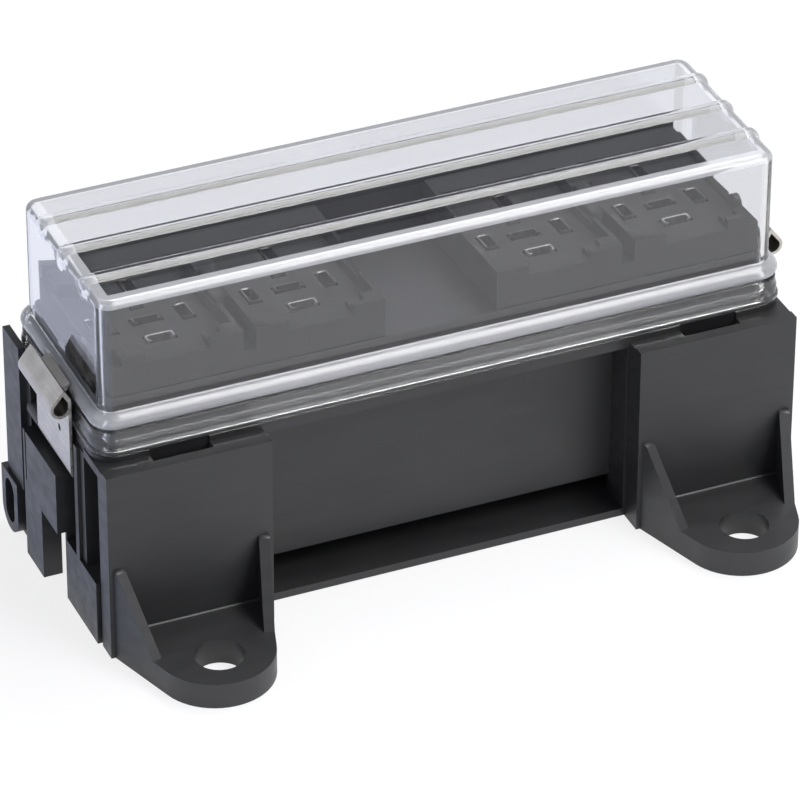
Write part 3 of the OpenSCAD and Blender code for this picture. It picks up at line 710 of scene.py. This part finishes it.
@dataclass
class BladeTerminals:
    """Female blade terminals, placed by one node tree, in millimetres."""

    name: str
    kinds: tuple[str, ...]
    width: float = 6.4
    depth: float = 2.6
    sheet: float = 0.45
    body_l: float = 14.0
    wing_l: float = 9.0
    wing_w: float = 4.0
    top_z: float = 62.9
    centre_y: float = 43.2
    front_step: float = 8.2
    rear_step: float = 8.6
    side_step: float = 16.8
    block_mid: float = 42.2
    socket_pitch: float = 31.3

    def places(self) -> dict[str, tuple[float, float, float]]:
        """Place and turn of every terminal by its node, as x, y and degrees."""
        around = {
            "front": (0.0, -self.front_step, 0.0),
            "centre": (0.0, 0.0, 0.0),
            "side_a": (-self.side_step / 2, 0.0, 90.0),
            "side_b": (self.side_step / 2, 0.0, -90.0),
            "rear": (0.0, self.rear_step, 90.0),
        }
        spots = {}
        for k in range(4):
            middle = (-1, 1)[k // 2] * self.block_mid + (-1, 1)[k % 2] * self.socket_pitch / 2
            for kind in self.kinds:
                x, y, turn = around[kind]
                spots[f"terminal_{k + 1}_{kind}"] = (middle + x, self.centre_y + y, turn)
        return spots

    def _section(self, wide: float, curl: float) -> list[tuple[float, float]]:
        """The sheet's middle line seen from above: a flat back with two curled edges."""
        half = wide / 2 - self.sheet / 2
        back = self.depth / 2 - self.sheet / 2
        front = -self.depth / 2 + self.sheet / 2
        r = min(0.55, (back - front) / 2)
        path = [(-half + curl, front)]
        for k in range(0, 7):
            angle = math.radians(270 - 90 * k / 6)
            path.append((-half + r + r * math.cos(angle), front + r + r * math.sin(angle)))
        for k in range(0, 7):
            angle = math.radians(180 - 90 * k / 6)
            path.append((-half + r + r * math.cos(angle), back - r + r * math.sin(angle)))
        return path + [(-x, y) for x, y in reversed(path)]

    def _blank(self) -> bpy.types.Mesh:
        """One terminal at the origin, its top at z = 0."""
        work = bmesh.new()
        levels = [(0.0, self.width - 0.3, 0.6), (-0.4, self.width, 0.8), (-self.body_l, self.width, 0.8)]
        levels += [(-self.body_l - 1.5, self.wing_w, 0.7), (-self.body_l - self.wing_l, self.wing_w, 0.6)]
        rows = []
        for z, wide, curl in levels:
            rows.append([work.verts.new((x * MM, y * MM, z * MM)) for x, y in self._section(wide, curl)])
        for upper, lower in zip(rows, rows[1:]):
            for k in range(len(upper) - 1):
                work.faces.new((lower[k], lower[k + 1], upper[k + 1], upper[k]))
        bmesh.ops.recalc_face_normals(work, faces=work.faces)
        mesh = bpy.data.meshes.new("terminal_blank")
        work.to_mesh(mesh)
        work.free()
        return mesh

    def _tree(self, blank: bpy.types.Object, finish: bpy.types.Material) -> bpy.types.GeometryNodeTree:
        """The node tree that sets a blank on every point.

        Args:
            blank: The single terminal.
            finish: The tin finish.

        Returns:
            The node tree.
        """
        tree = bpy.data.node_groups.new("set_terminals", "GeometryNodeTree")
        face = tree.interface
        face.new_socket("Geometry", in_out="INPUT", socket_type="NodeSocketGeometry")
        size = face.new_socket("Size", in_out="INPUT", socket_type="NodeSocketFloat")
        size.default_value = 1.0
        face.new_socket("Geometry", in_out="OUTPUT", socket_type="NodeSocketGeometry")
        start = tree.nodes.new("NodeGroupInput")
        end = tree.nodes.new("NodeGroupOutput")
        source = tree.nodes.new("GeometryNodeObjectInfo")
        source.inputs["Object"].default_value = blank
        turn = tree.nodes.new("GeometryNodeInputNamedAttribute")
        turn.data_type = "FLOAT"
        turn.inputs["Name"].default_value = "turn"
        angles = tree.nodes.new("ShaderNodeCombineXYZ")
        spread = tree.nodes.new("GeometryNodeInstanceOnPoints")
        real = tree.nodes.new("GeometryNodeRealizeInstances")
        paint = tree.nodes.new("GeometryNodeSetMaterial")
        paint.inputs["Material"].default_value = finish
        links = (
            (start.outputs["Geometry"], spread.inputs["Points"]),
            (source.outputs["Geometry"], spread.inputs["Instance"]),
            (turn.outputs["Attribute"], angles.inputs["Z"]),
            (angles.outputs["Vector"], spread.inputs["Rotation"]),
            (start.outputs["Size"], spread.inputs["Scale"]),
            (spread.outputs["Instances"], real.inputs["Geometry"]),
            (real.outputs["Geometry"], paint.inputs["Geometry"]),
            (paint.outputs["Geometry"], end.inputs["Geometry"]),
        )
        for a, b in links:
            tree.links.new(a, b)
        return tree

    def build(self, finish: bpy.types.Material) -> bpy.types.Object:
        """Builds these terminals as one piece.

        Args:
            finish: The tin finish.

        Returns:
            The piece.
        """
        blank = new_piece("terminal_blank", self._blank())
        solid = blank.modifiers.new("sheet", "SOLIDIFY")
        solid.thickness = self.sheet * MM
        solid.offset = 0.0
        bake(blank)
        spots = self.places()
        mesh = bpy.data.meshes.new("terminal_points")
        mesh.from_pydata([(x * MM, y * MM, self.top_z * MM) for x, y, _ in spots.values()], [], [])
        turn = mesh.attributes.new("turn", "FLOAT", "POINT")
        turn.data.foreach_set("value", [math.radians(a) for _, _, a in spots.values()])
        piece = new_piece(self.name, mesh)
        nodes = piece.modifiers.new("terminals", "NODES")
        nodes.node_group = self._tree(blank, finish)
        bake(piece)
        bpy.data.objects.remove(blank)
        smooth_by_angle(piece.data, 35)
        finish_piece(piece, Body.HOUSING, list(spots))
        return piece


# ---------------------------------------------------------------- black and steel pieces


@dataclass
class Mouldings:
    """The black pieces and the steel clips, from the CAD nodes with rounded edges."""

    nodes: dict[str, bpy.types.Object]
    finishes: Finishes

    def build(self) -> None:
        """Builds the housing, the blocks, the clips and the gasket."""
        housing = RoundedCopy("base", 0.00025).build("housing_moulding", self.nodes, self.finishes.housing)
        finish_piece(housing, Body.HOUSING, ["base"])
        for side in ("left", "right"):
            node = f"block_{side}"
            block = RoundedCopy(node, 0.0002, thin=0.0005).build(f"socket_block_{side}", self.nodes, self.finishes.block)
            finish_piece(block, Body.HOUSING, [node])
            node = f"clip_{side}"
            clip = RoundedCopy(node, 0.00008, 2, 30).build(f"spring_clip_{side}", self.nodes, self.finishes.steel)
            finish_piece(clip, Body(node), [node])
        ring = self.nodes["gasket"]
        ring.data.materials.clear()
        ring.data.materials.append(self.finishes.gasket)


# ---------------------------------------------------------------- studio


@dataclass(frozen=True)
class SoftBox:
    """A soft box that faces the object: where it stands, its size and how bright its face is."""

    name: str
    direction: tuple[float, float, float]
    size: tuple[float, float]
    radiance: float
    colour: tuple[float, float, float] = (1.0, 1.0, 1.0)
    distance: float = 1.0
    aim: tuple[float, float, float] = (0.0, 0.035, 0.05)

    def build(self) -> bpy.types.Object:
        """Adds the lamp, with its width along X.

        Returns:
            The lamp's object.
        """
        out = Vector(self.direction).normalized()
        across = Vector((1.0, 0.0, 0.0))
        if abs(out.x) > 0.8:
            across = Vector((0.0, -1.0, 0.0))
        across = (across - out * across.dot(out)).normalized()
        data = bpy.data.lights.new(self.name, "AREA")
        data.shape = "RECTANGLE"
        data.size, data.size_y = self.size
        data.energy = self.radiance * math.pi * self.size[0] * self.size[1]
        data.color = self.colour
        lamp = bpy.data.objects.new(self.name, data)
        turn = Matrix((across, out.cross(across), out)).transposed().to_4x4()
        lamp.matrix_world = Matrix.Translation(Vector(self.aim) + out * self.distance) @ turn
        bpy.context.scene.collection.objects.link(lamp)
        return lamp


@dataclass
class Studio:
    """Camera, floor, sky and soft boxes."""

    camera_at: tuple[float, float, float] = (-0.4013, -0.8851, 0.6944)
    azimuth: float = 23.332
    elevation: float = 33.451
    roll: float = 0.165
    lens: float = 259.17
    arch: tuple[tuple[float, float], ...] = ((30.0, 0.55), (56.0, 1.0), (82.0, 1.0), (106.0, 1.0))
    arch_lean: float = 0.353
    arch_radiance: float = 9.5
    arch_size: tuple[float, float] = (0.3, 0.4)
    side_radiance: float = 2.2
    sky_front: float = 0.42
    sky_back: float = 0.3
    floor_glow: float = 0.8
    floor_shine: float = 0.72
    backdrop_top: float = 0.14

    def camera(self) -> None:
        """Adds the camera at the photograph's place and turn."""
        a, e, r = (math.radians(v) for v in (self.azimuth, self.elevation, self.roll))
        ahead = Vector((math.sin(a) * math.cos(e), math.cos(a) * math.cos(e), -math.sin(e)))
        right = Vector((math.cos(a), -math.sin(a), 0.0))
        up = right.cross(ahead)
        right_r = right * math.cos(r) + up * math.sin(r)
        up_r = up * math.cos(r) - right * math.sin(r)
        data = bpy.data.cameras.new("photo_camera")
        data.lens = self.lens
        data.sensor_width = 36.0
        data.clip_start = 0.05
        data.clip_end = 20.0
        camera = bpy.data.objects.new("photo_camera", data)
        turn = Matrix((right_r, up_r, -ahead)).transposed().to_4x4()
        camera.matrix_world = Matrix.Translation(self.camera_at) @ turn
        bpy.context.scene.collection.objects.link(camera)
        bpy.context.scene.camera = camera

    def floor(self) -> None:
        """Adds the white floor. It glows for the camera and in gloss and glass, and keeps the soft shadow. In gloss it
        glows blue-lilac left of the housing: a painted reflection on the housing's left faces.
        """
        mesh = bpy.data.meshes.new("floor")
        half = 3.0
        z = -0.0002
        mesh.from_pydata([(-half, -half, z), (half, -half, z), (half, half, z), (-half, half, z)], [], [(0, 1, 2, 3)])
        floor = new_piece("studio_floor", mesh)
        board = NodeBoard("studio_floor")
        matt = board.add("ShaderNodeBsdfDiffuse")
        matt.inputs["Color"].default_value = (0.88, 0.88, 0.9, 1)
        glow = board.add("ShaderNodeEmission")
        glow.inputs["Color"].default_value = (1.0, 1.0, 1.0, 1)
        # Painted reflection: glossy rays see the floor blue-lilac left of the housing's left end and near white
        # elsewhere.
        painted_reflection = board.add("ShaderNodeEmission")
        place = board.add("ShaderNodeTexCoord")
        across = board.add("ShaderNodeSeparateXYZ")
        left = board.add("ShaderNodeMapRange")
        left.inputs["From Min"].default_value = -0.084
        left.inputs["From Max"].default_value = -0.078
        left.inputs["To Min"].default_value = 0.3
        left.inputs["To Max"].default_value = 0.7
        board.join(place.outputs["Object"], across.inputs["Vector"])
        board.join(across.outputs["X"], left.inputs["Value"])
        board.join(board.tint(left.outputs["Result"], (0.72, 0.77, 1.0), (0.96, 0.965, 0.97)), painted_reflection.inputs["Color"])
        rays = board.add("ShaderNodeLightPath")
        plain = board.add("ShaderNodeMixShader")
        share = board.add("ShaderNodeMath", operation="MULTIPLY")
        share.inputs[1].default_value = self.floor_glow
        bent = board.add("ShaderNodeMath", operation="MAXIMUM")
        first = board.add("ShaderNodeMath", operation="LESS_THAN")
        first.inputs[1].default_value = 0.5
        direct = board.add("ShaderNodeMath", operation="MULTIPLY")
        mirrored = board.add("ShaderNodeMath", operation="MULTIPLY")
        mirrored.inputs[1].default_value = self.floor_shine
        mix = board.add("ShaderNodeMixShader")
        board.join(rays.outputs["Is Camera Ray"], bent.inputs[0])
        board.join(rays.outputs["Is Transmission Ray"], bent.inputs[1])
        board.join(rays.outputs["Diffuse Depth"], first.inputs[0])
        board.join(bent.outputs[0], direct.inputs[0])
        board.join(first.outputs[0], direct.inputs[1])
        board.join(direct.outputs[0], share.inputs[0])
        board.join(share.outputs[0], plain.inputs["Fac"])
        board.join(matt.outputs["BSDF"], plain.inputs[1])
        board.join(glow.outputs["Emission"], plain.inputs[2])
        board.join(rays.outputs["Is Glossy Ray"], mirrored.inputs[0])
        board.join(mirrored.outputs[0], mix.inputs["Fac"])
        board.join(plain.outputs["Shader"], mix.inputs[1])
        board.join(painted_reflection.outputs["Emission"], mix.inputs[2])
        board.join(mix.outputs["Shader"], board.output.inputs["Surface"])
        mesh.materials.append(board.material)

    def world(self) -> None:
        """Sets the sky: white for the camera and through glass, else soft in front and dim behind."""
        world = bpy.data.worlds.new("studio")
        bpy.context.scene.world = world
        world.use_nodes = True
        tree = world.node_tree
        tree.nodes.clear()
        out = tree.nodes.new("ShaderNodeOutputWorld")
        seen = tree.nodes.new("ShaderNodeBackground")
        seen.inputs["Color"].default_value = (1, 1, 1, 1)
        lit = tree.nodes.new("ShaderNodeBackground")
        lit.inputs["Color"].default_value = (0.88, 0.9, 1.0, 1)
        place = tree.nodes.new("ShaderNodeTexCoord")
        parts = tree.nodes.new("ShaderNodeSeparateXYZ")
        fade = tree.nodes.new("ShaderNodeMapRange")
        fade.interpolation_type = "SMOOTHSTEP"
        fade.inputs["From Min"].default_value = -0.35
        fade.inputs["From Max"].default_value = 0.45
        fade.inputs["To Min"].default_value = self.sky_front
        fade.inputs["To Max"].default_value = self.sky_back
        rays = tree.nodes.new("ShaderNodeLightPath")
        low = tree.nodes.new("ShaderNodeMapRange")
        low.interpolation_type = "SMOOTHSTEP"
        low.inputs["From Min"].default_value = self.backdrop_top + 0.1
        low.inputs["From Max"].default_value = self.backdrop_top
        behind = self._math(tree, "GREATER_THAN", 0.1)
        wall = self._math(tree, "MULTIPLY")
        mirrored = self._math(tree, "MULTIPLY")
        level = self._math(tree, "MAXIMUM")
        either = self._math(tree, "MAXIMUM")
        first = self._math(tree, "LESS_THAN", 0.5)
        plain = self._math(tree, "LESS_THAN", 0.5)
        straight = self._math(tree, "MULTIPLY")
        direct = self._math(tree, "MULTIPLY")
        mix = tree.nodes.new("ShaderNodeMixShader")
        links = (
            (place.outputs["Generated"], parts.inputs["Vector"]),
            (parts.outputs["Y"], fade.inputs["Value"]),
            (parts.outputs["Z"], low.inputs["Value"]),
            (parts.outputs["Y"], behind.inputs[0]),
            (low.outputs["Result"], wall.inputs[0]),
            (behind.outputs[0], wall.inputs[1]),
            (wall.outputs[0], mirrored.inputs[0]),
            (first.outputs[0], mirrored.inputs[1]),
            (fade.outputs["Result"], level.inputs[0]),
            (mirrored.outputs[0], level.inputs[1]),
            (level.outputs[0], lit.inputs["Strength"]),
            (rays.outputs["Is Camera Ray"], either.inputs[0]),
            (rays.outputs["Is Transmission Ray"], either.inputs[1]),
            (rays.outputs["Diffuse Depth"], first.inputs[0]),
            (rays.outputs["Glossy Depth"], plain.inputs[0]),
            (first.outputs[0], straight.inputs[0]),
            (plain.outputs[0], straight.inputs[1]),
            (either.outputs[0], direct.inputs[0]),
            (straight.outputs[0], direct.inputs[1]),
            (direct.outputs[0], mix.inputs["Fac"]),
            (lit.outputs["Background"], mix.inputs[1]),
            (seen.outputs["Background"], mix.inputs[2]),
            (mix.outputs["Shader"], out.inputs["Surface"]),
        )
        for source, target in links:
            tree.links.new(source, target)

    @staticmethod
    def _math(tree: bpy.types.NodeTree, operation: str, second: float = 0.0) -> bpy.types.Node:
        """Adds a Math node with its second value set."""
        node = tree.nodes.new("ShaderNodeMath")
        node.operation = operation
        node.inputs[1].default_value = second
        return node

    def lamps(self) -> None:
        """Adds the arch of soft boxes and the one on the left."""
        for k, (angle, share) in enumerate(self.arch):
            turn = math.radians(angle)
            SoftBox(f"arch_box_{k + 1}", (self.arch_lean, -math.cos(turn), math.sin(turn)),
                    self.arch_size, self.arch_radiance * share).build()
        SoftBox("left_box", (-1.0, -0.1, 0.45), (0.8, 0.6), self.side_radiance, (0.8, 0.85, 1.0), 1.2).build()

    def build(self) -> None:
        """Builds the whole studio."""
        bpy.context.scene.view_settings.view_transform = "Standard"
        self.camera()
        self.floor()
        self.world()
        self.lamps()


# ---------------------------------------------------------------- assembly


def main() -> None:
    """Builds every piece in order."""
    logging.basicConfig(level=logging.INFO, format="%(name)s: %(message)s")
    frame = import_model()
    Studio().build()
    finishes = Finishes()
    Mouldings(frame["nodes"], finishes).build()
    ClearCover().build((finishes.cover, finishes.edges, finishes.skirt))
    BladeTerminals("front_terminals", ("front",)).build(finishes.terminal)
    BladeTerminals("inner_terminals", ("centre", "side_a", "side_b", "rear")).build(finishes.inner_terminal)


if __name__ == "__main__":
    main()
